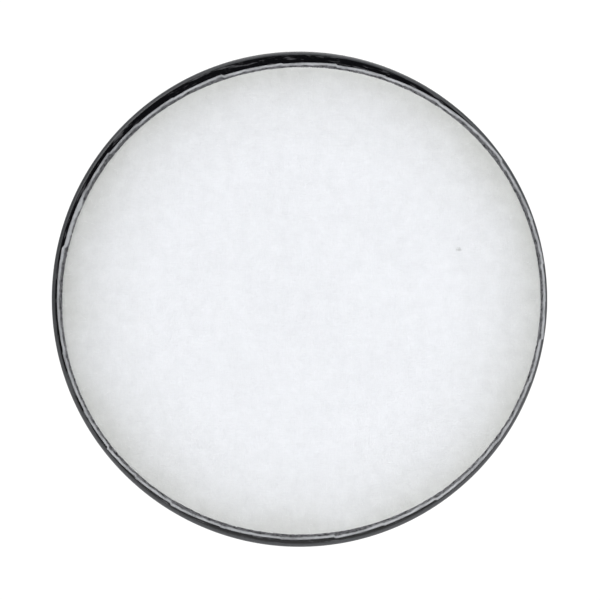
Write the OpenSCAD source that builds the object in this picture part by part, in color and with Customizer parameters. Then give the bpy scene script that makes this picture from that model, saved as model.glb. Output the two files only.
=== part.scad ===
// Felt polishing wheel for the end of a lapidary arbor.
// A thick white felt pad is glued to a black plastic disc with a clear double-sided film.
// A flange is bolted to the disc's back, and a threaded bush pressed through it screws onto
// the arbor.
//
// Every piece is drawn with the wheel's axis upright: 0 is the bush's rear seat and the felt
// is at the top. wheel_pose() then turns it so that the felt faces -Y and the bush +Y.

/* [Backing plate] */
// Outside diameter of the plate, which is the wheel's size
wheel_d = 152.4; // [120:0.1:210]
// Thickness of the plate
plate_t = 9.5; // [7:0.1:16]
// Radius of the plate's eased edges
edge_round = 1.4; // [0.5:0.1:2.5]

/* [Felt pad] */
// Thickness of the felt at its middle
felt_t = 12.7; // [8:0.1:25]
// Mean width of bare plate from its edge to the felt
felt_inset = 3.7; // [3.6:0.1:10]
// How much wider than high the felt was cut, as a radius
felt_oval = 0.9; // [0:0.1:1]
// Tilt of the felt's longer way
felt_tilt = 8; // [-90:1:90]
// How far the felt's face falls from its flat middle to its edge
crown_drop = 4.2; // [0.5:0.1:6]
// Width of the felt's rounded shoulder
crown_w = 27; // [8:1:40]
// How far the felt was glued off centre, to the right
felt_shift_x = 0.6; // [-0.6:0.1:0.6]
// How far the felt was glued off centre, upwards
felt_shift_z = -0.5; // [-0.6:0.1:0.6]

/* [Adhesive film] */
// Thickness of the double-sided film
film_t = 0.4; // [0.2:0.1:1]
// How far the film shows past the felt
film_margin = 1.7; // [1:0.1:1.9]
// Number of scissor cuts round the film
film_snips = 27; // [16:1:60]
// Height of the step where one cut meets the next
snip_step = 0.4; // [0.1:0.05:0.5]

/* [Threaded bush] */
// Tapping diameter of the 5/8-11 UNC thread
thread_bore_d = 13.5; // [8:0.1:17]
// Wall left in front of the blind thread
bore_floor = 9.5; // [4:0.5:14]
// Diameter of the bush's collar
collar_d = 32; // [28:0.5:42]
// Length of the collar behind the flange
collar_l = 20; // [14:0.5:40]
// Depth of each of the two wrench flats
flat_cut = 2.5; // [1:0.1:3]
// Length of the wrench flats
flat_l = 11; // [5:0.5:12]
// Diameter of the spigot that holds the flange and centres the plate
spigot_d = 24; // [20:0.5:27]

/* [Flange] */
// Thickness of the flange
flange_t = 4; // [3:0.1:8]
// Width of the flange outside the washers
flange_land = 2.65; // [1:0.05:8]

/* [Fasteners] */
// Number of screws
screw_n = 4; // [3:1:6]
// Diameter of the screws
screw_d = 4.8; // [4:0.1:5.5]
// Head diameter of the countersunk screws
head_d = 9.2; // [8.5:0.1:12]
// Diameter of the washers
washer_d = 12.7; // [11:0.1:15]
// Thickness of the washers
washer_t = 1.1; // [0.8:0.1:2]
// Width of the lock nuts across their flats
nut_af = 9.5; // [9:0.1:11]
// Height of the lock nuts
nut_h = 6.1; // [5.5:0.1:8]
// How far the screws stand out of the nuts
screw_tip = 1.6; // [0.5:0.1:5]

/* [Hidden] */
$fn = 96;

// Clearances between pieces, each on the radius unless it says otherwise
screw_clear = 0.25;   // screw in the plate and the flange
spigot_clear = 0.1;   // spigot in the plate
spigot_gap = 0.5;     // spigot short of the plate's front face, along the axis
press_clear = 0.02;   // spigot in the flange, where the real pieces are pressed together
thread_gap = 0.05;    // screw in its nut
washer_gap = 2.65;    // washer to the collar

// Small edge breaks
break_edge = 0.5;
mouth_chamfer = 1;

// Countersunk head, 82 degrees
head_h = (head_d - screw_d) / 2 / tan(41);
recess_w = 1.1;
recess_l = 4.6;
recess_h = 1.8;

// Lock nut: the hexagon, its round crimped end, and the seat of its nylon ring
hex_h = nut_h - 1.9;
crimp_d = nut_af - 0.6;
insert_h = 1.3;
insert_lip = 0.4;
insert_d = screw_d + 2.3;
lip_d = insert_d - 1;

// Stations along the axis, from the bush's rear seat
flange_z = collar_l;
plate_z = flange_z + flange_t;
film_z = plate_z + plate_t;
felt_z = film_z + film_t;
spigot_l = plate_t - spigot_gap;
bore_l = collar_l + flange_t + spigot_l - bore_floor;
washer_z = flange_z - washer_t;
nut_z = washer_z - nut_h;
tip_z = nut_z - screw_tip;

// Radii and the screw circle
wheel_r = wheel_d / 2;
felt_r = wheel_r - felt_inset;
collar_r = collar_d / 2;
screw_circle_r = collar_r + washer_gap + washer_d / 2;
flange_r = screw_circle_r + washer_d / 2 + flange_land;

// Steps in the felt's rounded shoulder and round its outline
crown_steps = 12;
felt_sides = 90;

// How far the felt's outline is fuller on its diagonals
cut_square = 0.15;

module wheel_pose() {
    rotate([90, 0, 0]) children();
}

module felt_place() {
    translate([felt_shift_x, felt_shift_z, 0]) children();
}

module at_screws() {
    for (i = [0 : screw_n - 1])
        rotate([0, 0, (i + 0.5) * 360 / screw_n])
            translate([screw_circle_r, 0, 0]) children();
}

// Felt: cut out by hand, with a flat middle, a shoulder that falls faster and faster, and
// an upright wall
function cut_r(a) = felt_r + felt_oval * cos(2 * (a - felt_tilt)) - cut_square * cos(4 * a);
function shoulder(u) = felt_t - crown_drop * pow(u, 2.4);
widest_r = felt_r + felt_oval + cut_square;
felt_profile = concat(
    [[0, 0], [widest_r, 0]],
    [for (i = [crown_steps : -1 : 0])
        let (u = i / crown_steps) [widest_r - crown_w * (1 - u), shoulder(u)]],
    [[0, felt_t]]);
felt_outline = [for (i = [0 : felt_sides - 1])
    let (a = i * 360 / felt_sides) cut_r(a) * [cos(a), sin(a)]];

module felt_pad() {
    color("white") wheel_pose() felt_place() translate([0, 0, felt_z]) intersection() {
        rotate_extrude() polygon(felt_profile);
        linear_extrude(felt_t) polygon(felt_outline);
    }
}

// Film: each scissor cut starts a little outside the end of the last one and runs inwards
function snip_out(k) = snip_step * (0.75 + 0.25 * sin(k * 143));
film_outline = [for (k = [0 : film_snips - 1], part = [0, 1])
    let (a = (k + part * 0.97) * 360 / film_snips,
         r = cut_r(a) + film_margin + (part == 0 ? snip_out(k) : -snip_step / 4))
    r * [cos(a), sin(a)]];

module adhesive_film() {
    color("gainsboro") wheel_pose() felt_place()
        translate([0, 0, film_z]) linear_extrude(film_t) polygon(film_outline);
}

// Plate: a disc with eased edges, a hole for the spigot and countersunk screw holes
module plate_profile() {
    square([wheel_r - edge_round, plate_t]);
    translate([0, edge_round]) square([wheel_r, plate_t - 2 * edge_round]);
    for (y = [edge_round, plate_t - edge_round])
        translate([wheel_r - edge_round, y]) circle(edge_round);
}

module screw_hole() {
    cylinder(h = film_z, r = screw_d / 2 + screw_clear);
    translate([0, 0, film_z - head_h])
        cylinder(h = head_h, d1 = screw_d, d2 = head_d);
}

module backing_plate() {
    color([0.05, 0.05, 0.055]) wheel_pose() difference() {
        translate([0, 0, plate_z]) rotate_extrude() plate_profile();
        translate([0, 0, plate_z - 1])
            cylinder(h = plate_t + 2, r = spigot_d / 2 + spigot_clear);
        at_screws() screw_hole();
    }
}

// Bush: a collar with wrench flats, a spigot in front of it, and a blind thread
module bush_outline() {
    front_z = plate_z + spigot_l;
    polygon([[0, 0], [collar_r - mouth_chamfer, 0], [collar_r, mouth_chamfer],
             [collar_r, flange_z - break_edge], [collar_r - break_edge, flange_z],
             [spigot_d / 2, flange_z], [spigot_d / 2, front_z - break_edge],
             [spigot_d / 2 - break_edge, front_z], [0, front_z]]);
}

module wrench_flats() {
    for (side = [0, 180])
        rotate([0, 0, side]) translate([collar_r - flat_cut, -collar_r, -1])
            cube([flat_cut + 1, collar_d, flat_l + 1]);
}

module threaded_bush() {
    color("silver") wheel_pose() difference() {
        rotate_extrude() bush_outline();
        cylinder(h = bore_l, d = thread_bore_d);
        cylinder(h = mouth_chamfer, d1 = thread_bore_d + 2 * mouth_chamfer, d2 = thread_bore_d);
        wrench_flats();
    }
}

// Flange: a ring that the bush is pressed through
module flange_outline() {
    bore_r = spigot_d / 2 + press_clear;
    polygon([[bore_r, flange_z], [flange_r - break_edge, flange_z],
             [flange_r, flange_z + break_edge], [flange_r, plate_z], [bore_r, plate_z]]);
}

module hub_flange() {
    color("gainsboro") wheel_pose() difference() {
        rotate_extrude() flange_outline();
        at_screws() cylinder(h = plate_z + 1, r = screw_d / 2 + screw_clear);
    }
}

// Countersunk screws, put in from the front before the felt is glued on
module cross_recess() {
    for (turn = [0, 90])
        rotate([0, 0, turn])
            translate([-recess_l / 2, -recess_w / 2, film_z - recess_h])
                cube([recess_l, recess_w, recess_h + 1]);
}

module plate_screws() {
    color("gray") wheel_pose() at_screws() difference() {
        union() {
            translate([0, 0, tip_z + break_edge])
                cylinder(h = film_z - tip_z - break_edge, d = screw_d);
            translate([0, 0, tip_z])
                cylinder(h = break_edge, d1 = screw_d - 2 * break_edge, d2 = screw_d);
            translate([0, 0, film_z - head_h])
                cylinder(h = head_h, d1 = screw_d, d2 = head_d);
        }
        cross_recess();
    }
}

module washers() {
    color("lightgray") wheel_pose() at_screws() translate([0, 0, washer_z])
        difference() {
            cylinder(h = washer_t, d = washer_d);
            translate([0, 0, -1])
                cylinder(h = washer_t + 2, r = screw_d / 2 + screw_clear);
        }
}

// Nylon-insert lock nuts, with the crimped end to the rear
module hexagon(af, h) {
    cylinder(h = h, d = af / cos(30), $fn = 6);
}

module lock_nuts() {
    color("lightgray") wheel_pose() at_screws() translate([0, 0, nut_z])
        difference() {
            union() {
                translate([0, 0, nut_h - hex_h]) hexagon(nut_af, hex_h);
                cylinder(h = nut_h - hex_h, d = crimp_d);
            }
            translate([0, 0, -1]) cylinder(h = nut_h + 2, r = screw_d / 2 + thread_gap);
            translate([0, 0, -1]) cylinder(h = 1 + insert_lip, d = lip_d);
            translate([0, 0, insert_lip]) cylinder(h = insert_h, d = insert_d);
        }
}

module nut_inserts() {
    color("royalblue") wheel_pose() at_screws() translate([0, 0, nut_z + insert_lip])
        difference() {
            cylinder(h = insert_h, d = insert_d);
            translate([0, 0, -1]) cylinder(h = insert_h + 2, r = screw_d / 2 + thread_gap);
        }
}

felt_pad();
adhesive_film();
backing_plate();
threaded_bush();
hub_flange();
plate_screws();
washers();
lock_nuts();
nut_inserts();
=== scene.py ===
"""Felt polishing wheel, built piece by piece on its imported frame, on a pale studio floor."""

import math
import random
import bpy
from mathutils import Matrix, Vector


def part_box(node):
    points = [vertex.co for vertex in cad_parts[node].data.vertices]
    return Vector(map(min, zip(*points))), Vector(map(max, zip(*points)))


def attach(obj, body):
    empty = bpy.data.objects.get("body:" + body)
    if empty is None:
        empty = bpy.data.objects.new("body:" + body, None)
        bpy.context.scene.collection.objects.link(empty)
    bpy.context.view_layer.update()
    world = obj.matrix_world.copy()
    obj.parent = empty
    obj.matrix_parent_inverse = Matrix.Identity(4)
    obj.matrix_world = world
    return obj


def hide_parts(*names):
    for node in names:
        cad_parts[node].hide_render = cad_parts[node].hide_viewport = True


bl_info = {
    "name": "Felt Polishing Wheel",
    "version": (1, 0, 0),
    "blender": (4, 5, 0),
    "location": "3D View > Sidebar > Polishing Wheel",
    "description": "Builds a felt polishing wheel piece by piece",
    "category": "Add Mesh",
}

import bmesh
import bpy
import numpy as np
from bpy.props import FloatProperty, FloatVectorProperty, IntProperty, PointerProperty
from mathutils import Matrix, Vector, noise

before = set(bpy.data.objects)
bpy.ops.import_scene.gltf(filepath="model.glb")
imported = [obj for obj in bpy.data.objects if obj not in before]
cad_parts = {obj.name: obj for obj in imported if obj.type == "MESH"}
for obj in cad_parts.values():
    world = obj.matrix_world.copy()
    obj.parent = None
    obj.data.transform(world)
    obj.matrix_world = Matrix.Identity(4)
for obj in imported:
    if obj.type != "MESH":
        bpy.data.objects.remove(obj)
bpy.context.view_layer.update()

MM = 0.001
BODY = "root"


# Sizes and places that the frame gives, in metres

NODES = (
    "felt_pad", "adhesive_film", "backing_plate", "threaded_bush", "hub_flange",
    "plate_screws", "washers", "lock_nuts", "nut_inserts",
)
BOXES = {node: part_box(node) for node in NODES}


def side_lengths(node):
    low, high = BOXES[node]
    return [high[i] - low[i] for i in range(3)]


def front_of(node):
    return BOXES[node][0][1]


def back_of(node):
    return BOXES[node][1][1]


def centre_of(node):
    low, high = BOXES[node]
    return (low[0] + high[0]) / 2, (low[2] + high[2]) / 2


PAD_WIDTH, _, PAD_HEIGHT = side_lengths("felt_pad")
PLATE_R = side_lengths("backing_plate")[0] / 2
FLANGE_R = side_lengths("hub_flange")[0] / 2
COLLAR_R = side_lengths("threaded_bush")[2] / 2
PLATE_FRONT = front_of("backing_plate")
PLATE_T = side_lengths("backing_plate")[1]
FELT_CENTRE = centre_of("felt_pad")

# Sizes that the frame's boxes don't give

SPIGOT_R = 12 * MM
BORE_END = 23.5 * MM
FLAT_LENGTH = 11 * MM
FLAT_DEPTH = 2.5 * MM
SCREW_HOLE_R = 2.65 * MM
NUT_BORE = 2.45 * MM
CROWN_POWER = 2.4
FELT_STEPS, FELT_TOP_ROWS, FELT_LIP_ROWS, FELT_WALL_ROWS, FELT_FOOT_ROWS = 720, 84, 6, 16, 3
FILM_STEPS = 1620
SNIP_LENGTH = 0.96
SNIP_TURN = 143
FLOOR_R = 1.5
FILM_ROWS_MM = (
    40, 12, 6, 3.4, 2.6, 2.1, 1.7, 1.4, 1.15, 0.95, 0.78, 0.62, 0.48, 0.36, 0.25, 0.15, 0.07, 0,
)
LINT_PLACE = (48.6 * MM, 15.2 * MM)
LINT_WIDEN = 0.62
LAMPS = (
    ((-0.9, -1.3, 0.8), 0.9, 8.6),
    ((1.0, -1.2, 0.5), 0.9, 8.4),
    ((0.1, 0.1, 1.6), 1.4, 13),
    ((0.2, 1.4, 0.9), 0.9, 7),
)
LAMP_AIM = (0, -0.03, 0)


def length(name, description, default, **limits):
    return FloatProperty(
        name=name, description=description, default=default, unit="LENGTH", precision=5, **limits
    )


def colour(name, description, default):
    return FloatVectorProperty(
        name=name, description=description, default=default, subtype="COLOR", size=3, min=0, max=1
    )


class FeltSettings(bpy.types.PropertyGroup):
    oval: length("Oval", "How much wider than high the pad is cut, as a radius", 0.9 * MM)
    tilt: FloatProperty(
        name="Tilt", description="Tilt of its longer way", default=math.radians(8), subtype="ANGLE"
    )
    square: length("Fullness", "How far the outline is fuller on its diagonals", 0.15 * MM)
    drop: length("Crown drop", "How far the face falls from its middle to its edge", 4.2 * MM)
    shoulder: length("Shoulder", "Width of the rounded shoulder", 27 * MM)
    lip: length("Lip", "Radius where the shoulder turns into the wall", 1.1 * MM)
    fibres: IntProperty(name="Loose fibres", description="Number of loose fibres", default=7000)
    middle: colour("Middle", "Wool at the middle", (0.872, 0.884, 0.915))
    # The edge colour is painted shade: the face is darkened towards it beyond what the crown's lit
    # shading gives.
    edge: colour("Edge", "Wool towards the edge", (0.592, 0.598, 0.582))


class FilmSettings(bpy.types.PropertyGroup):
    margin: length("Margin", "How far the film shows past the felt", 1.72 * MM)
    snips: IntProperty(name="Cuts", description="Number of scissor cuts round it", default=27)
    step: length("Step", "Height of the step where two cuts meet", 0.4 * MM)
    wobble: length("Wobble", "How far the margin varies round it", 0.14 * MM)
    lift: length("Lift", "How far the cut edge stands up", 0.22 * MM)
    # The cut edge colour is whitened film plus a painted highlight where the raised edge catches
    # light.
    whitened_edge_and_glint: colour("Cut edge", "Whitened film at its cut edge", (0.63, 0.64, 0.665))
    body: colour("Film", "Glue and film over the black disc", (0.30, 0.30, 0.32))


class PlateSettings(bpy.types.PropertyGroup):
    edge_round: length("Edge radius", "Radius of the disc's eased edges", 1.4 * MM)
    black: colour("Plastic", "Colour of the plastic", (0.0035, 0.0035, 0.0045))
    # The turned edge colour is a painted sheen that stands in for the rounded rim's reflection.
    painted_rim_sheen: colour("Turned edge", "Colour of the turned edge", (0.066, 0.068, 0.073))


class FixingSettings(bpy.types.PropertyGroup):
    washer: length("Washer", "Diameter of the washers", 12.7 * MM)
    screw: length("Screw", "Diameter of the screws", 4.8 * MM)
    head: length("Head", "Diameter of the screw heads", 9.2 * MM)
    screw_pitch: length("Screw pitch", "Pitch of the screw thread", 1.06 * MM)
    across: length("Nut", "Width of the nuts across their flats", 9.5 * MM)
    arbor: length("Arbor", "Major diameter of the arbor thread", 15.88 * MM)
    arbor_pitch: length("Arbor pitch", "Pitch of the arbor thread", 25.4 / 11 * MM)
    steel: colour("Steel", "Turned steel", (0.50, 0.50, 0.51))
    aluminium: colour("Aluminium", "Turned aluminium", (0.74, 0.75, 0.76))
    zinc: colour("Zinc", "Bright zinc plate", (0.66, 0.68, 0.70))
    nylon: colour("Nylon", "Nylon rings", (0.05, 0.14, 0.42))


class StageSettings(bpy.types.PropertyGroup):
    floor_drop: length("Floor", "How far the floor lies below the axis", 0.22)
    lens: FloatProperty(name="Lens", description="Focal length in mm", default=400)
    view_width: length("View width", "Width that the camera sees at the disc", 184.5 * MM)


class WheelSettings(bpy.types.PropertyGroup):
    felt: PointerProperty(type=FeltSettings)
    film: PointerProperty(type=FilmSettings)
    plate: PointerProperty(type=PlateSettings)
    fixings: PointerProperty(type=FixingSettings)
    stage: PointerProperty(type=StageSettings)


# Modelling helpers


def new_piece(add, **settings):
    """Adds one primitive with nothing else selected, and returns its object."""
    if bpy.context.object and bpy.context.object.mode != "OBJECT":
        bpy.ops.object.mode_set(mode="OBJECT")
    bpy.ops.object.select_all(action="DESELECT")
    add(**settings)
    return bpy.context.object


def only(piece):
    """Makes a piece the one that operators act on."""
    bpy.ops.object.select_all(action="DESELECT")
    piece.select_set(True)
    bpy.context.view_layer.objects.active = piece


def close_up(piece, gap=1e-6):
    """Merges what meets, and turns the faces outwards."""
    only(piece)
    bpy.ops.object.mode_set(mode="EDIT")
    bpy.ops.mesh.select_all(action="SELECT")
    bpy.ops.mesh.remove_doubles(threshold=gap)
    bpy.ops.mesh.normals_make_consistent(inside=False)
    bpy.ops.object.mode_set(mode="OBJECT")


def turned(outline, steps=128):
    """Spins a closed outline of (radius, place along Y) round the Y axis."""
    piece = new_piece(bpy.ops.mesh.primitive_circle_add, vertices=len(outline), radius=1)
    for vertex, (r, y) in zip(piece.data.vertices, outline):
        vertex.co = (r, y, 0)
    bpy.ops.object.mode_set(mode="EDIT")
    bpy.ops.mesh.select_all(action="SELECT")
    bpy.ops.mesh.spin(steps=steps, angle=math.tau, center=(0, 0, 0), axis=(0, 1, 0))
    bpy.ops.object.mode_set(mode="OBJECT")
    close_up(piece)
    return piece


def rolled(around, rings, place):
    """Rolls a grid into a round sheet: place(angle, row) gives each row's point."""
    piece = new_piece(
        bpy.ops.mesh.primitive_grid_add, x_subdivisions=around, y_subdivisions=rings, size=1
    )
    for vertex in piece.data.vertices:
        angle = (vertex.co.x + 0.5) * math.tau
        vertex.co = place(angle, round((vertex.co.y + 0.5) * rings))
    close_up(piece)
    return piece


def modify(piece, kind, **settings):
    """Adds a modifier, sets it and applies it."""
    only(piece)
    modifier = piece.modifiers.new(kind.title(), kind)
    for key, value in settings.items():
        setattr(modifier, key, value)
    bpy.ops.object.modifier_apply(modifier=modifier.name)


def carve(piece, tool, operation="DIFFERENCE"):
    """Cuts, meets or joins a piece with a tool, and throws the tool away."""
    modify(piece, "BOOLEAN", object=tool, operation=operation, solver="EXACT")
    bpy.data.objects.remove(tool)


def soften(piece, width, segments=2, angle=30):
    """Rounds every sharp edge."""
    modify(
        piece,
        "BEVEL",
        width=width,
        segments=segments,
        limit_method="ANGLE",
        angle_limit=math.radians(angle),
        harden_normals=False,
    )


def joined(*pieces):
    only(pieces[0])
    for piece in pieces[1:]:
        piece.select_set(True)
    bpy.ops.object.join()
    return bpy.context.object


def helix(ridge, pitch, turns, steps):
    """Sweeps a closed ridge of (radius, place along Y) along a helix round the Y axis."""
    piece = new_piece(bpy.ops.mesh.primitive_circle_add, vertices=len(ridge), radius=1)
    for vertex, (r, y) in zip(piece.data.vertices, ridge):
        vertex.co = (r, y, 0)
    modify(
        piece, "SCREW", axis="Y", angle=math.tau, screw_offset=-pitch, iterations=turns,
        steps=steps, render_steps=steps,
    )
    bpy.ops.object.mode_set(mode="EDIT")
    bpy.ops.mesh.select_all(action="SELECT")
    bpy.ops.mesh.fill_holes(sides=len(ridge))
    bpy.ops.object.mode_set(mode="OBJECT")
    close_up(piece)
    return piece


def complete(piece, name, node, finish, smooth=32):
    """Bakes a piece's place into its mesh, shades it and ties it to the frame."""
    only(piece)
    bpy.ops.object.transform_apply(location=True, rotation=True, scale=True)
    bpy.ops.object.shade_smooth_by_angle(angle=math.radians(smooth))
    piece.name = piece.data.name = name
    piece.data.materials.clear()
    piece.data.materials.append(finish)
    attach(piece, BODY)
    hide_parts(node)
    return piece


def set_round(piece, name, node, finish, circle, count=4):
    """Copies a piece, which stands on the axis, to each screw's place."""
    for i in range(count):
        angle = (i + 0.5) * math.tau / count
        copy = piece if i == count - 1 else piece.copy()
        if copy is not piece:
            copy.data = piece.data.copy()
            bpy.context.collection.objects.link(copy)
        turn = Matrix.Rotation(-angle, 4, "Y") @ Matrix.Translation((circle, 0, 0))
        copy.matrix_world = turn
        complete(copy, f"{name}_{i + 1}", node, finish)


def screw_circle(settings):
    half_side = side_lengths("washers")[0] / 2
    return (half_side - settings.washer / 2) / math.cos(math.pi / 4)


# Finishes


class Value:
    """A shader socket that adds Math nodes when it is used in an expression."""

    def __init__(self, finish, socket):
        self.finish, self.socket = finish, socket

    def math(self, operation, *others):
        inputs = dict(enumerate((self, *others)))
        return self.finish.node("ShaderNodeMath", {"operation": operation}, inputs)

    def swapped(self, operation, other):
        return self.finish.node("ShaderNodeMath", {"operation": operation}, {0: other, 1: self})

    def __add__(self, other):
        return self.math("ADD", other)

    __radd__ = __add__

    def __mul__(self, other):
        return self.math("MULTIPLY", other)

    __rmul__ = __mul__

    def __sub__(self, other):
        return self.math("SUBTRACT", other)

    def __rsub__(self, other):
        return self.swapped("SUBTRACT", other)

    def __truediv__(self, other):
        return self.math("DIVIDE", other)

    def __pow__(self, other):
        return self.math("POWER", other)

    def clamped(self):
        return self.math("MAXIMUM", 0.0).math("MINIMUM", 1.0)


class Finish:
    """A node material under construction."""

    def __init__(self, name):
        self.material = bpy.data.materials.new(name)
        self.material.use_nodes = True
        self.tree = self.material.node_tree
        self.shader = self.tree.nodes["Principled BSDF"]

    def node(self, kind, settings=None, inputs=None, output=0):
        """Adds a node, sets it, then fills its sockets with values or links."""
        node = self.tree.nodes.new(kind)
        for key, value in (settings or {}).items():
            if key == "stops":
                ramp = node.color_ramp
                while len(ramp.elements) < len(value):
                    ramp.elements.new(0.5)
                for element, (place, shade) in zip(ramp.elements, value):
                    element.position = place
                    element.color = (shade, shade, shade, 1)
            else:
                setattr(node, key, value)
        for key, value in (inputs or {}).items():
            self.feed(node.inputs[key], value)
        return Value(self, node.outputs[output])

    def feed(self, socket, value):
        if isinstance(value, Value):
            self.tree.links.new(value.socket, socket)
        elif hasattr(value, "__len__") and len(value) == 3 and len(socket.default_value) == 4:
            socket.default_value = (*value, 1)
        else:
            socket.default_value = value

    def place(self):
        """Object coordinates, which are the frame's own."""
        return self.node("ShaderNodeTexCoord", output=3)

    def axes(self, vector):
        split = self.node("ShaderNodeSeparateXYZ", inputs={0: vector}).socket.node
        return [Value(self, split.outputs[i]) for i in range(3)]

    def vector(self, x, y, z):
        return self.node("ShaderNodeCombineXYZ", inputs={0: x, 1: y, 2: z})

    def radius(self, vector, centre=(0, 0)):
        """Distance from an axis along Y, through centre (x, z)."""
        x, _, z = self.axes(vector)
        x, z = x - centre[0], z - centre[1]
        return (x * x + z * z) ** 0.5

    def noise(self, vector, scale, detail=3.0, roughness=0.5, warp=0.0):
        inputs = {
            "Vector": vector, "Scale": scale, "Detail": detail, "Roughness": roughness,
            "Distortion": warp,
        }
        return self.node("ShaderNodeTexNoise", inputs=inputs)

    def ramp(self, value, stops):
        return self.node("ShaderNodeValToRGB", {"stops": stops}, {0: value})

    def mix(self, factor, a, b, blend="MIX"):
        settings = {"data_type": "RGBA", "blend_type": blend}
        return self.node("ShaderNodeMix", settings, {0: factor, 6: a, 7: b}, output=2)

    def stretched(self, vector, x, y, z):
        return self.node("ShaderNodeMapping", inputs={0: vector, 3: (x, y, z)})

    def bump(self, height, depth, strength=1.0):
        """Depth is the height in metres that a value of 1 stands for."""
        return self.node(
            "ShaderNodeBump", inputs={"Height": height, "Distance": depth, "Strength": strength}
        )

    def done(self, **sockets):
        for key, value in sockets.items():
            self.feed(self.shader.inputs[key.replace("_", " ")], value)
        return self.material


def wool_felt(settings, pad_r):
    """Pressed wool: faint mottling and short fibres lying both ways, with painted shade that greys
    the face towards its edge.
    """
    f = Finish("wool_felt")
    place = f.place()
    r = f.radius(place, FELT_CENTRE) / pad_r
    clouds = f.noise(place, 55, 4)
    mottle = f.noise(place, 260, 4, 0.6)
    across = f.noise(f.stretched(place, 220, 900, 1300), 1, 3, 0.6, 2.5)
    upwards = f.noise(f.stretched(place, 1300, 900, 220), 1, 3, 0.6, 2.5)
    grain = f.noise(place, 2600, 3, 0.6)
    fibres = (across + upwards) * 0.5
    # Painted shade: fade greys the wool towards the edge, standing in for the shading of the
    # falling shoulder.
    fade = f.ramp(r + (clouds - 0.5) * 0.12, [(0.62, 0), (0.8, 0.2), (0.9, 0.5), (1.0, 1)])
    wool = f.mix(fade, tuple(settings.middle), tuple(settings.edge))
    tone = 1 + (clouds - 0.5) * 0.06 + (mottle - 0.5) * (0.11 + fade * 0.12) + (fibres - 0.5) * 0.2
    wool = f.mix(1.0, wool, f.vector(tone, tone, tone), "MULTIPLY")
    lint_centre = (LINT_PLACE[0] * LINT_WIDEN, LINT_PLACE[1])
    lint = f.radius(f.stretched(place, LINT_WIDEN, 1, 1), lint_centre)
    lint = f.ramp((lint + (f.noise(place, 1500, 2) - 0.5) * 1.6 * MM) / MM, [(0.1, 1), (0.75, 0)])
    wool = f.mix(lint * 0.4, wool, (0.25, 0.24, 0.22))
    height = fibres * 0.7 + grain * 0.3 + mottle
    return f.done(
        Base_Color=wool,
        Roughness=0.95,
        Normal=f.bump(height, 0.35 * MM),
        Specular_IOR_Level=0.15,
        Sheen_Weight=0.1,
        Sheen_Roughness=0.6,
    )


def clear_film(settings):
    """Clear glued film over black: its cut edge is pale, whitened film with a painted highlight,
    and it is grey and dull next to the felt.
    """
    f = Finish("clear_film")
    around, inwards, _ = f.axes(f.node("ShaderNodeUVMap", {"uv_map": "cut"}))
    inwards = inwards / MM
    place = f.place()
    wander = f.noise(place, 420, 3)
    patches = f.noise(place, 150, 3)
    dashes = f.noise(f.vector(around * 62, inwards * 1.7, 0.0), 1, 3, 0.65)
    tab = f.ramp((around - 2.88) / 0.36 + 0.5, [(0.0, 0), (0.1, 1), (0.9, 0.3), (1.0, 0)])
    reach = inwards / (2.0 + tab * 1.6) + (wander - 0.5) * 0.4
    # Partly a painted highlight: the pale band at the cut edge is whitened film plus the light its
    # raised edge catches.
    cut = f.ramp(reach, [(0.0, 0.5), (0.12, 1), (0.26, 0.8), (0.4, 0)])
    cut = cut * (patches * 1.9 - 0.1 + tab * 0.5)
    body = f.mix((dashes * 3.2 - 1.1).clamped(), (0.02, 0.02, 0.022), tuple(settings.body))
    shade = f.mix(cut.clamped(), body, tuple(settings.whitened_edge_and_glint))
    return f.done(
        Base_Color=shade,
        Roughness=0.42 + cut * 0.2,
        Normal=f.bump(wander + patches, 0.08 * MM),
        Alpha=(0.82 + cut * 0.3).clamped(),
    )


def black_plastic(settings):
    """Glossy black plastic with fine wipe marks and a duller turned edge, whose paler colour is a
    painted sheen.
    """
    f = Finish("black_plastic")
    place = f.place()
    x, y, z = f.axes(place)
    r = f.radius(place)
    outer_rim = f.ramp(
        (r - (PLATE_R - 1.5 * MM)) / (1.5 * MM), [(0.2, 0), (0.42, 0.8), (1.0, 1)]
    )
    wipes = f.noise(f.stretched(place, 60, 60, 900), 1, 5, 0.65)
    specks = f.noise(place, 1900, 2)
    smears = f.ramp(f.noise(place, 210, 4, 0.7), [(0.6, 0), (0.75, 1)])
    rings = f.noise(f.vector(r * 3000, y * 3000, 0.0), 1, 3, 0.7)
    sweep = f.noise(f.vector(r * 420, 0.0, 0.0), 1, 4, 0.6)
    rear = f.ramp((y + 25 * MM) / MM, [(0.2, 0), (0.9, 1)])
    behind_front = (y - PLATE_FRONT) / PLATE_T
    # Painted sheen: the paler rim colour stands in for reflections on the rounded front edge, so
    # it is kept to that front corner.
    front_corner = f.ramp(behind_front, [(0.08, 1), (0.24, 0.3)])
    rim_sheen_and_turning = outer_rim * front_corner
    shade = f.mix(rim_sheen_and_turning, tuple(settings.black), tuple(settings.painted_rim_sheen))
    shade = f.mix(smears * 0.06, shade, (0.5, 0.5, 0.52))
    around = x.swapped("ARCTAN2", z)
    streaks = f.noise(f.vector(around * 11, r * 1100, 0.0), 1, 3, 0.6)
    bare_ring = f.ramp(r / PLATE_R, [(0.94, 0), (0.955, 1)])
    streaks = f.ramp(streaks, [(0.55, 0), (0.64, 1)]) * bare_ring
    streaks = streaks * f.ramp(behind_front, [(0.04, 1), (0.1, 0)])
    shade = f.mix(streaks * (1 - outer_rim) * 0.5, shade, (0.16, 0.16, 0.17))
    return f.done(
        Base_Color=shade,
        Roughness=(0.10 + wipes * 0.10 + rim_sheen_and_turning * 0.25 + smears * 0.15).clamped(),
        Normal=f.bump(
            rings * outer_rim * 0.6 + specks * 0.12 + wipes * 0.25 + sweep * rear * 2, 0.03 * MM
        ),
        Specular_IOR_Level=0.42,
    )


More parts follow.
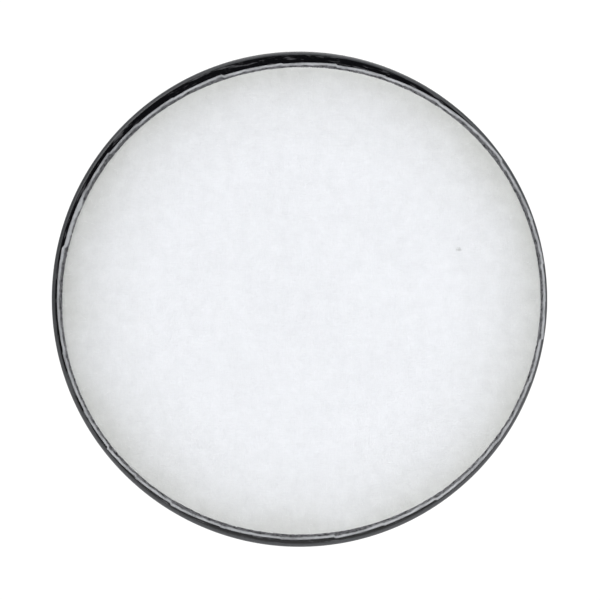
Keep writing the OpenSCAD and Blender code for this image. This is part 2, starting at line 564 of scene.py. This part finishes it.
def turned_metal(name, tint, roughness=0.26):
    """Lathe marks that run round the axis on faces and walls alike."""
    f = Finish(name)
    place = f.place()
    y = f.axes(place)[1]
    r = f.radius(place)
    marks = f.noise(f.vector(r * 4200, y * 4200, 0.0), 1, 4, 0.7)
    bands = f.noise(f.vector(r * 700, y * 700, 0.0), 1, 2)
    stains = f.noise(place, 160, 4)
    shade = f.mix(stains * 0.5, tuple(tint), tuple(0.72 * c for c in tint))
    return f.done(
        Base_Color=shade,
        Metallic=1.0,
        Roughness=(roughness + (bands - 0.5) * 0.16 + (stains - 0.5) * 0.2).clamped(),
        Normal=f.bump(marks, 0.018 * MM),
    )


def zinc_plate(settings):
    """Bright zinc: slightly mottled, with a faint blue cast."""
    f = Finish("zinc_plate")
    place = f.place()
    mottle = f.noise(place, 900, 4)
    clouds = f.noise(place, 240, 3)
    blued = tuple(c * k for c, k in zip(settings.zinc, (0.78, 0.84, 0.95)))
    shade = f.mix(clouds, tuple(settings.zinc), blued)
    return f.done(
        Base_Color=shade,
        Metallic=1.0,
        Roughness=(0.2 + mottle * 0.2).clamped(),
        Normal=f.bump(mottle, 0.02 * MM),
    )


def moulded_nylon(settings):
    """Moulded nylon: even colour with a fine grain."""
    f = Finish("moulded_nylon")
    grain = f.noise(f.place(), 1800, 3)
    shade = f.mix(grain, tuple(settings.nylon), tuple(min(1, 1.5 * c) for c in settings.nylon))
    return f.done(Base_Color=shade, Roughness=0.38 + grain * 0.2, Normal=f.bump(grain, 0.02 * MM))


def pale_floor():
    """Near-white floor that glows slightly, so that it also lights the rim from below."""
    f = Finish("pale_floor")
    cloud = f.noise(f.place(), 6, 2)
    return f.done(
        Base_Color=f.mix(cloud, (0.88, 0.88, 0.88), (0.92, 0.92, 0.92)),
        Roughness=0.8,
        Emission_Color=(1.0, 1.0, 1.0),
        Emission_Strength=0.2,
    )


# Outlines that felt and film share


def cut_radius(settings, angle):
    """The pad's hand-cut outline: slightly wider than high, and fuller on its diagonals."""
    mean = (PAD_WIDTH + PAD_HEIGHT) / 4 + settings.square
    oval = settings.oval * math.cos(2 * (angle - settings.tilt))
    return mean + oval - settings.square * math.cos(4 * angle)


def on_circle(angle, r, y, centre=FELT_CENTRE):
    return centre[0] + r * math.cos(angle), y, centre[1] + r * math.sin(angle)


def rough(point, size, seed=0):
    """Smooth noise from -1 to 1 at a point in space, with bumps about size across."""
    return noise.noise([c / size + seed for c in point])


class WHEEL_OT_felt_pad(bpy.types.Operator):
    """Make the felt pad: a thick disc with a soft shoulder and an uneven hand-cut wall"""

    bl_idname = "wheel.felt_pad"
    bl_label = "Felt pad"

    def execute(self, context):
        s = context.scene.wheel.felt
        face, foot = front_of("felt_pad"), back_of("felt_pad")
        top_rows, lip_rows, wall_rows = FELT_TOP_ROWS, FELT_LIP_ROWS, FELT_WALL_ROWS
        wall_end = top_rows + lip_rows + wall_rows
        rows = wall_end + FELT_FOOT_ROWS

        def fall(u):
            return s.drop * max(0.0, u) ** CROWN_POWER

        def place(angle, row):
            edge = cut_radius(s, angle)
            flat = edge - s.shoulder
            lip_y = face + fall(1 - s.lip / s.shoulder)
            if row <= top_rows:
                r = (edge - s.lip) * row / top_rows
                y = face + fall((r - flat) / s.shoulder)
            elif row <= top_rows + lip_rows:
                turn = (row - top_rows) / lip_rows * math.pi / 2
                r = edge - s.lip + s.lip * math.sin(turn)
                y = lip_y + s.lip * (1 - math.cos(turn)) + s.lip * 0.35 * math.sin(turn)
            elif row <= wall_end:
                down = (row - top_rows - lip_rows) / wall_rows
                start = lip_y + 1.35 * s.lip
                y = start + (foot - start) * down
                r = edge - 0.25 * MM * math.sin(math.pi * down)
            else:
                inner = (row - wall_end) / FELT_FOOT_ROWS
                r, y = edge * (1 - inner), foot
            point = x, y, z = on_circle(angle, r, y)
            if row <= top_rows:
                y += 0.09 * MM * rough(point, 14 * MM) + 0.06 * MM * rough(point, 3.5 * MM, 7)
            elif row <= wall_end:
                down = (row - top_rows) / (wall_end - top_rows)
                push = 0.10 * rough(point, 5 * MM, 3)
                push += (0.05 + 0.1 * down) * rough(point, 1.4 * MM, 5)
                x, _, z = on_circle(angle, r + push * MM * min(1, 3 * down + 0.3), y)
            return x, y, z

        pad = rolled(FELT_STEPS, rows, place)
        complete(pad, "wool_pad", "felt_pad", wool_felt(s, cut_radius(s, 0)), 60)
        return {"FINISHED"}


class WHEEL_OT_felt_fibres(bpy.types.Operator):
    """Scatter loose wool fibres over the pad's face and wall"""

    bl_idname = "wheel.felt_fibres"
    bl_label = "Loose fibres"

    def execute(self, context):
        s = context.scene.wheel.felt
        face, foot = front_of("felt_pad"), back_of("felt_pad")
        hair = new_piece(bpy.ops.mesh.primitive_cylinder_add, vertices=3, radius=1, depth=1)
        bpy.ops.object.mode_set(mode="EDIT")
        for cut in (-1 / 6, 1 / 6):
            bpy.ops.mesh.select_all(action="SELECT")
            bpy.ops.mesh.bisect(plane_co=(0, 0, cut), plane_no=(0, 0, 1))
        bpy.ops.object.mode_set(mode="OBJECT")
        shape = np.array([v.co for v in hair.data.vertices])
        faces = [list(p.vertices) for p in hair.data.polygons]
        draw = random.Random(17)
        points, loops = [], []
        for i in range(s.fibres):
            angle = draw.uniform(0, math.tau)
            edge = cut_radius(s, angle)
            on_wall = draw.random() < 0.62
            if on_wall:
                y = draw.uniform(face + s.drop, foot)
                root = Vector(on_circle(angle, edge - 0.15 * MM, y))
                out = Vector((math.cos(angle), 0, math.sin(angle)))
            else:
                r = (edge - s.lip) * draw.random() ** 0.4
                fall = s.drop * max(0.0, (r - edge + s.shoulder) / s.shoulder) ** CROWN_POWER
                root = Vector(on_circle(angle, r, face + fall + 0.05 * MM))
                out = Vector((0, -1, 0))
            lie = Vector([draw.gauss(0, 1) for _ in range(3)])
            lie = (lie - out * lie.dot(out)).normalized()
            lean = draw.uniform(0.1, 0.5) if on_wall else draw.uniform(0.02, 0.12)
            way = (lie + out * lean).normalized()
            bend = Vector([draw.gauss(0, 1) for _ in range(3)])
            bend = (bend - out * bend.dot(out)).normalized() - out * lean * 0.9
            long = draw.uniform(0.6, 2.2) * MM * (0.8 if on_wall else 1.0)
            thick = draw.uniform(0.014, 0.034) * MM
            side = way.orthogonal().normalized()
            other = way.cross(side)
            base = len(points)
            for x, y, z in shape:
                t = z + 0.5
                p = root + way * long * t + bend * long * 0.45 * t * t
                points.append(p + (side * x + other * y) * thick * (1 - 0.6 * t))
            loops.extend([base + k for k in f] for f in faces)
        hair.data.clear_geometry()
        hair.data.from_pydata(points, [], loops)
        complete(hair, "felt_fibres", "felt_pad", bpy.data.materials["wool_felt"], 60)
        return {"FINISHED"}


class WHEEL_OT_adhesive_film(bpy.types.Operator):
    """Make the clear film: trimmed with scissors, with a raised cut edge that is whitened and
    carries a painted highlight
    """

    bl_idname = "wheel.adhesive_film"
    bl_label = "Adhesive film"

    def execute(self, context):
        s = context.scene.wheel.film
        felt = context.scene.wheel.felt
        front, back = front_of("adhesive_film"), back_of("adhesive_film")

        def snip(angle):
            """How far the cut runs outside the mean line, and how sharp its corner is."""
            uneven = 0.35 * math.sin(3 * angle) + 0.25 * math.sin(5 * angle)
            k, part = divmod(angle / math.tau * s.snips + uneven, 1)
            k %= s.snips
            out, after = (
                s.step * (0.2 + 0.9 * max(0, math.sin(math.radians(n % s.snips * SNIP_TURN))) ** 2)
                for n in (k, k + 1)
            )
            low = -s.step / 4
            wobble = s.wobble * math.sin(3 * angle)
            if part < SNIP_LENGTH:
                return wobble + out + (low - out) * part / SNIP_LENGTH, max(0.0, 1 - part / 0.12)
            rise = (part - SNIP_LENGTH) / (1 - SNIP_LENGTH)
            return wobble + low + (after - low) * rise, rise

        def place(angle, row):
            edge = cut_radius(felt, angle)
            extra, corner = snip(angle % math.tau)
            if row == 0:
                return on_circle(0, 0, front)
            depth = FILM_ROWS_MM[row - 1] * MM
            fade = max(0.0, 1 - depth / (1.2 * MM))
            r = edge + s.margin + extra * fade - depth
            wave = 0.5 + 0.5 * rough(on_circle(angle, edge, 0), 4 * MM, 2)
            lift = s.lift * (0.45 + 0.55 * wave + 0.7 * corner) * fade**1.6
            return on_circle(angle, r, front - lift)

        film = rolled(FILM_STEPS, len(FILM_ROWS_MM), place)
        uv = film.data.uv_layers.new(name="cut")
        for loop in film.data.loops:
            x, _, z = film.data.vertices[loop.vertex_index].co
            x, z = x - FELT_CENTRE[0], z - FELT_CENTRE[1]
            angle = math.atan2(z, x) % math.tau
            edge = cut_radius(felt, angle) + s.margin + snip(angle)[0]
            uv.data[loop.index].uv = (angle, max(0.0, edge - math.hypot(x, z)))
        modify(film, "SOLIDIFY", thickness=(back - front) * 0.98, offset=-1)
        complete(film, "cut_film", "adhesive_film", clear_film(s), 40)
        return {"FINISHED"}


def eased(r, y0, y1, round_r, steps=8):
    """The outer corner points of a disc from y0 to y1 whose two edges are rounded."""
    points = []
    for y, sign in ((y0 + round_r, -1), (y1 - round_r, 1)):
        turns = range(steps + 1) if sign < 0 else range(steps, -1, -1)
        for i in turns:
            a = math.pi / 2 * i / steps
            points.append((r - round_r + round_r * math.sin(a), y + sign * round_r * math.cos(a)))
    return points


def drill(piece, settings, r, y0, y1):
    """Drills the four screw holes."""
    for i in range(4):
        angle = (i + 0.5) * math.tau / 4
        x, z = (screw_circle(settings) * f(angle) for f in (math.cos, math.sin))
        tool = turned([(0, y0), (r, y0), (r, y1), (0, y1)], 40)
        tool.location = (x, 0, z)
        carve(piece, tool)


class WHEEL_OT_backing_plate(bpy.types.Operator):
    """Turn the black disc, with eased edges, a spigot hole and four screw holes"""

    bl_idname = "wheel.backing_plate"
    bl_label = "Backing plate"

    def execute(self, context):
        s = context.scene.wheel.plate
        front, back = front_of("backing_plate"), back_of("backing_plate")
        hole = SPIGOT_R + 0.1 * MM
        outline = [(hole, back), (hole, front), *eased(PLATE_R, front, back, s.edge_round)]
        plate = turned(outline, 512)
        drill(plate, context.scene.wheel.fixings, SCREW_HOLE_R, front - MM, back + MM)
        complete(plate, "black_disc", "backing_plate", black_plastic(s))
        return {"FINISHED"}


class WHEEL_OT_threaded_bush(bpy.types.Operator):
    """Turn the bush, cut its arbor thread and mill its wrench flats"""

    bl_idname = "wheel.threaded_bush"
    bl_label = "Threaded bush"

    def execute(self, context):
        s = context.scene.wheel.fixings
        rear, front = back_of("threaded_bush"), front_of("threaded_bush")
        shoulder = back_of("hub_flange")
        major, minor = s.arbor / 2, s.arbor / 2 - 0.61 * s.arbor_pitch * 0.84
        end = rear - BORE_END
        bush = turned(
            [
                (0, end - 2.4 * MM), (major - 1.2 * MM, end), (major, end + MM),
                (major, rear - MM), (major + MM, rear), (COLLAR_R - 1.2 * MM, rear),
                (COLLAR_R, rear - 1.2 * MM), (COLLAR_R, rear - 12.6 * MM),
                (COLLAR_R - 0.35 * MM, rear - 13 * MM), (COLLAR_R - 0.35 * MM, rear - 13.8 * MM),
                (COLLAR_R, rear - 14.2 * MM), (COLLAR_R, shoulder + 0.5 * MM),
                (COLLAR_R - 0.5 * MM, shoulder), (SPIGOT_R, shoulder),
                (SPIGOT_R, front + 0.5 * MM), (SPIGOT_R - 0.5 * MM, front), (0, front),
            ],
            192,
        )
        across = COLLAR_R - FLAT_DEPTH
        for side in (-1, 1):
            mill = new_piece(
                bpy.ops.mesh.primitive_cube_add, size=1,
                location=(side * (across + 5 * MM), rear - FLAT_LENGTH / 2 + 2.5 * MM, 0),
                scale=(10 * MM, FLAT_LENGTH + 5 * MM, 40 * MM),
            )
            bpy.ops.object.transform_apply(location=True, rotation=True, scale=True)
            soften(mill, 0.8 * MM, 4)
            carve(bush, mill)
        soften(bush, 0.12 * MM, 2, 25)
        pitch = s.arbor_pitch
        ridge = [
            (major + 0.15 * MM, -0.46 * pitch), (major - 0.02 * MM, -0.44 * pitch),
            (minor, -0.125 * pitch), (minor, 0.125 * pitch),
            (major - 0.02 * MM, 0.44 * pitch), (major + 0.15 * MM, 0.46 * pitch),
        ]
        turns = int((BORE_END - 2 * MM) / pitch)
        thread = helix(ridge, pitch, turns, 96)
        low = min(v.co.y for v in thread.data.vertices)
        high = max(v.co.y for v in thread.data.vertices)
        for vertex in thread.data.vertices:
            to_end = min(high - vertex.co.y, vertex.co.y - low)
            fade = min(1.0, to_end / (1.5 * pitch))
            r = math.hypot(vertex.co.x, vertex.co.z)
            if r < major - 0.1 * MM:
                k = (r + (major + 0.1 * MM - r) * (1 - fade) ** 2) / r
                vertex.co.x, vertex.co.z = vertex.co.x * k, vertex.co.z * k
            vertex.co.y += rear - 0.9 * MM - high
        bush = joined(bush, thread)
        complete(
            bush, "turned_bush", "threaded_bush",
            turned_metal("turned_steel", s.steel), 30,
        )
        return {"FINISHED"}


class WHEEL_OT_hub_flange(bpy.types.Operator):
    """Turn the flange, with chamfered edges and four drilled holes"""

    bl_idname = "wheel.hub_flange"
    bl_label = "Flange"

    def execute(self, context):
        s = context.scene.wheel.fixings
        rear, front = back_of("hub_flange"), front_of("hub_flange")
        flange = turned(
            [
                (SPIGOT_R + 0.02 * MM, rear), (SPIGOT_R + 0.02 * MM, front),
                (FLANGE_R - 0.2 * MM, front), (FLANGE_R, front + 0.2 * MM),
                (FLANGE_R, rear - 0.5 * MM), (FLANGE_R - 0.5 * MM, rear),
            ],
            256,
        )
        drill(flange, s, SCREW_HOLE_R, front - MM, rear + MM)
        soften(flange, 0.1 * MM, 2, 25)
        complete(
            flange, "turned_flange", "hub_flange",
            turned_metal("turned_aluminium", s.aluminium, 0.3), 30,
        )
        return {"FINISHED"}


class WHEEL_OT_plate_screws(bpy.types.Operator):
    """Make the four countersunk screws, with a cross recess and a cut thread"""

    bl_idname = "wheel.plate_screws"
    bl_label = "Plate screws"

    def execute(self, context):
        s = context.scene.wheel.fixings
        head_y, tip = front_of("plate_screws"), back_of("plate_screws")
        r, core = s.screw / 2, s.screw / 2 - 0.55 * MM
        cone = (s.head / 2 - r) / math.tan(math.radians(41))
        start = front_of("hub_flange")
        screw = turned(
            [
                (0, head_y), (s.head / 2, head_y), (r, head_y + cone), (r, start),
                (core, start + 0.5 * MM), (core, tip - 0.4 * MM), (core - 0.4 * MM, tip), (0, tip),
            ],
            48,
        )
        for turn in (0, math.pi / 2):
            slot = new_piece(
                bpy.ops.mesh.primitive_cube_add, size=1, location=(0, head_y, 0),
                rotation=(0, turn, 0), scale=(4.6 * MM, 3.6 * MM, 1.1 * MM),
            )
            bpy.ops.object.transform_apply(location=True, rotation=True, scale=True)
            bpy.ops.object.mode_set(mode="EDIT")
            mesh = bmesh.from_edit_mesh(slot.data)
            for vertex in mesh.verts:
                vertex.select = vertex.co.y > head_y
            mesh.select_flush(True)
            bmesh.update_edit_mesh(slot.data)
            bpy.ops.transform.resize(value=(0.35, 1, 0.35))
            bpy.ops.object.mode_set(mode="OBJECT")
            carve(screw, slot)
        pitch = s.screw_pitch
        ridge = [
            (core - 0.08 * MM, -0.46 * pitch), (r, -0.08 * pitch), (r, 0.08 * pitch),
            (core - 0.08 * MM, 0.46 * pitch),
        ]
        turns = int((tip - start - 0.5 * MM) / pitch)
        thread = helix(ridge, pitch, turns, 32)
        high = max(v.co.y for v in thread.data.vertices)
        for vertex in thread.data.vertices:
            fade = min(1.0, (high - vertex.co.y) / (1.2 * pitch))
            out = math.hypot(vertex.co.x, vertex.co.z)
            if out > core:
                k = (core + (out - core) * fade) / out
                vertex.co.x, vertex.co.z = vertex.co.x * k, vertex.co.z * k
            vertex.co.y += tip - 0.15 * MM - high
        screw = joined(screw, thread)
        set_round(
            screw, "plate_screw", "plate_screws", bpy.data.materials["zinc_plate"],
            screw_circle(s),
        )
        return {"FINISHED"}


class WHEEL_OT_washers(bpy.types.Operator):
    """Punch the four washers: rounded on one side, with a slight burr on the other"""

    bl_idname = "wheel.washers"
    bl_label = "Washers"

    def execute(self, context):
        s = context.scene.wheel.fixings
        rear, front = back_of("washers"), front_of("washers")
        hole, r = s.screw / 2 + 0.25 * MM, s.washer / 2
        washer = turned(
            [
                (hole, front), (r - 0.08 * MM, front), (r, front + 0.1 * MM),
                (r - 0.02 * MM, rear - 0.35 * MM), (r - 0.12 * MM, rear - 0.12 * MM),
                (r - 0.4 * MM, rear), (hole + 0.3 * MM, rear), (hole, rear - 0.25 * MM),
            ],
            72,
        )
        set_round(washer, "washer", "washers", zinc_plate(s), screw_circle(s))
        return {"FINISHED"}


class WHEEL_OT_lock_nuts(bpy.types.Operator):
    """Make the four lock nuts: a chamfered hexagon under a rolled collar"""

    bl_idname = "wheel.lock_nuts"
    bl_label = "Lock nuts"

    def execute(self, context):
        s = context.scene.wheel.fixings
        rear, front = back_of("lock_nuts"), front_of("lock_nuts")
        hex_rear = rear - 1.9 * MM
        corner = s.across / 2 / math.cos(math.pi / 6)
        hexagon = new_piece(
            bpy.ops.mesh.primitive_cylinder_add, vertices=6, radius=corner, depth=hex_rear - front,
            location=(0, (front + hex_rear) / 2, 0), rotation=(math.pi / 2, 0, 0),
        )
        bpy.ops.object.transform_apply(location=True, rotation=True, scale=True)
        rim = s.across / 2 * 0.97
        slope = (corner - rim) * math.tan(math.radians(28))
        drum = turned(
            [
                (0, front), (rim, front), (corner + 0.01 * MM, front + slope),
                (corner + 0.01 * MM, hex_rear - slope), (rim, hex_rear), (0, hex_rear),
            ],
            96,
        )
        carve(hexagon, drum, "INTERSECT")
        bore = turned([(0, front - MM), (NUT_BORE, front - MM), (NUT_BORE, rear), (0, rear)], 48)
        carve(hexagon, bore)
        soften(hexagon, 0.06 * MM, 2, 20)
        collar, roll = s.across / 2 - 0.3 * MM, 0.75 * MM
        seat, lip = s.screw / 2 + 1.15 * MM, s.screw / 2 + 0.65 * MM
        rolled_top = [
            (collar - roll + roll * math.sin(a), rear - roll + roll * math.cos(a))
            for a in (math.pi / 2 * i / 6 for i in range(7))
        ]
        ring = turned(
            [
                (seat, rear - 0.4 * MM), (lip, rear - 0.4 * MM), (lip, rear - 0.12 * MM),
                (lip + 0.12 * MM, rear), *rolled_top, (collar, hex_rear - 0.2 * MM),
                (seat, hex_rear - 0.2 * MM),
            ],
            72,
        )
        nut = joined(hexagon, ring)
        set_round(
            nut, "lock_nut", "lock_nuts", bpy.data.materials["zinc_plate"],
            screw_circle(s),
        )
        return {"FINISHED"}


class WHEEL_OT_nut_inserts(bpy.types.Operator):
    """Make the four nylon rings that the nuts' collars hold"""

    bl_idname = "wheel.nut_inserts"
    bl_label = "Nylon rings"

    def execute(self, context):
        s = context.scene.wheel.fixings
        rear, front = back_of("nut_inserts"), front_of("nut_inserts")
        hole, r = NUT_BORE, s.screw / 2 + 1.12 * MM
        ring = turned(
            [
                (hole + 0.25 * MM, front), (r, front), (r, rear), (hole + 0.55 * MM, rear),
                (hole + 0.2 * MM, rear - 0.15 * MM), (hole, rear - 0.5 * MM),
                (hole, front + 0.3 * MM),
            ],
            64,
        )
        set_round(ring, "nut_insert", "nut_inserts", moulded_nylon(s), screw_circle(s))
        return {"FINISHED"}


class WHEEL_OT_stage(bpy.types.Operator):
    """Set the floor, the soft lights and the camera"""

    bl_idname = "wheel.stage"
    bl_label = "Stage"

    def soft_light(self, place, size, power):
        new_piece(bpy.ops.object.light_add, type="AREA", location=place)
        light = bpy.context.object
        light.data.shape, light.data.size, light.data.energy = "DISK", size, power
        beam = Vector(LAMP_AIM) - Vector(place)
        light.rotation_euler = beam.to_track_quat("-Z", "Y").to_euler()

    def execute(self, context):
        s = context.scene.wheel.stage
        floor = new_piece(
            bpy.ops.mesh.primitive_circle_add, vertices=96, radius=FLOOR_R, fill_type="NGON",
            location=(0, 0, -s.floor_drop),
        )
        bpy.ops.object.mode_set(mode="EDIT")
        bpy.ops.mesh.extrude_region_move(TRANSFORM_OT_translate={"value": (0, 0, -0.01)})
        bpy.ops.mesh.select_all(action="SELECT")
        bpy.ops.mesh.normals_make_consistent(inside=False)
        bpy.ops.object.mode_set(mode="OBJECT")
        floor.name = "floor"
        floor.data.materials.append(pale_floor())

        for lamp in LAMPS:
            self.soft_light(*lamp)

        world = bpy.data.worlds.new("studio")
        world.use_nodes = True
        context.scene.world = world
        nodes, links = world.node_tree.nodes, world.node_tree.links
        seen = nodes.new("ShaderNodeLightPath")
        lit = nodes["Background"]
        lit.inputs["Color"].default_value = (0.96, 0.98, 1.0, 1)
        way = nodes.new("ShaderNodeSeparateXYZ")
        links.new(nodes.new("ShaderNodeTexCoord").outputs["Generated"], way.inputs[0])
        fall = nodes.new("ShaderNodeMapRange")
        for i, value in enumerate((-0.97, -0.72, 0.04, 0.34), 1):
            fall.inputs[i].default_value = value
        links.new(way.outputs["Y"], fall.inputs[0])
        links.new(fall.outputs[0], lit.inputs["Strength"])
        white = nodes.new("ShaderNodeBackground")
        white.inputs["Color"].default_value = (1, 1, 1, 1)
        white.inputs["Strength"].default_value = 1.05
        either = nodes.new("ShaderNodeMixShader")
        links.new(seen.outputs["Is Camera Ray"], either.inputs[0])
        links.new(lit.outputs[0], either.inputs[1])
        links.new(white.outputs[0], either.inputs[2])
        links.new(either.outputs[0], nodes["World Output"].inputs["Surface"])

        context.scene.view_settings.view_transform = "Standard"
        rim_y = front_of("backing_plate") + context.scene.wheel.plate.edge_round
        new_piece(bpy.ops.object.camera_add, rotation=(math.pi / 2, 0, 0))
        camera = bpy.context.object
        camera.data.lens = s.lens
        distance = s.view_width * s.lens / camera.data.sensor_width
        camera.location = (0.16 * MM, rim_y - distance, -0.26 * MM)
        camera.data.clip_end = 20
        context.scene.camera = camera
        return {"FINISHED"}


class WHEEL_PT_panel(bpy.types.Panel):
    """Lists the wheel's pieces and their sizes"""

    bl_idname = "WHEEL_PT_panel"
    bl_label = "Polishing Wheel"
    bl_space_type = "VIEW_3D"
    bl_region_type = "UI"
    bl_category = "Polishing Wheel"

    def draw(self, context):
        wheel = context.scene.wheel
        for group in (wheel.felt, wheel.film, wheel.plate, wheel.fixings, wheel.stage):
            box = self.layout.box()
            for name in group.__annotations__:
                box.prop(group, name)
        for operator in OPERATORS:
            self.layout.operator(operator.bl_idname)


SETTINGS = (
    FeltSettings, FilmSettings, PlateSettings, FixingSettings, StageSettings, WheelSettings,
)
OPERATORS = (
    WHEEL_OT_stage, WHEEL_OT_felt_pad, WHEEL_OT_felt_fibres, WHEEL_OT_adhesive_film,
    WHEEL_OT_backing_plate, WHEEL_OT_threaded_bush, WHEEL_OT_hub_flange, WHEEL_OT_washers,
    WHEEL_OT_lock_nuts, WHEEL_OT_nut_inserts, WHEEL_OT_plate_screws,
)


def register():
    for cls in (*SETTINGS, *OPERATORS, WHEEL_PT_panel):
        bpy.utils.register_class(cls)
    bpy.types.Scene.wheel = PointerProperty(type=WheelSettings)


def unregister():
    del bpy.types.Scene.wheel
    for cls in reversed((*SETTINGS, *OPERATORS, WHEEL_PT_panel)):
        bpy.utils.unregister_class(cls)


def main():
    register()
    for operator in OPERATORS:
        family, name = operator.bl_idname.split(".")
        getattr(getattr(bpy.ops, family), name)()


if __name__ == "__main__":
    main()
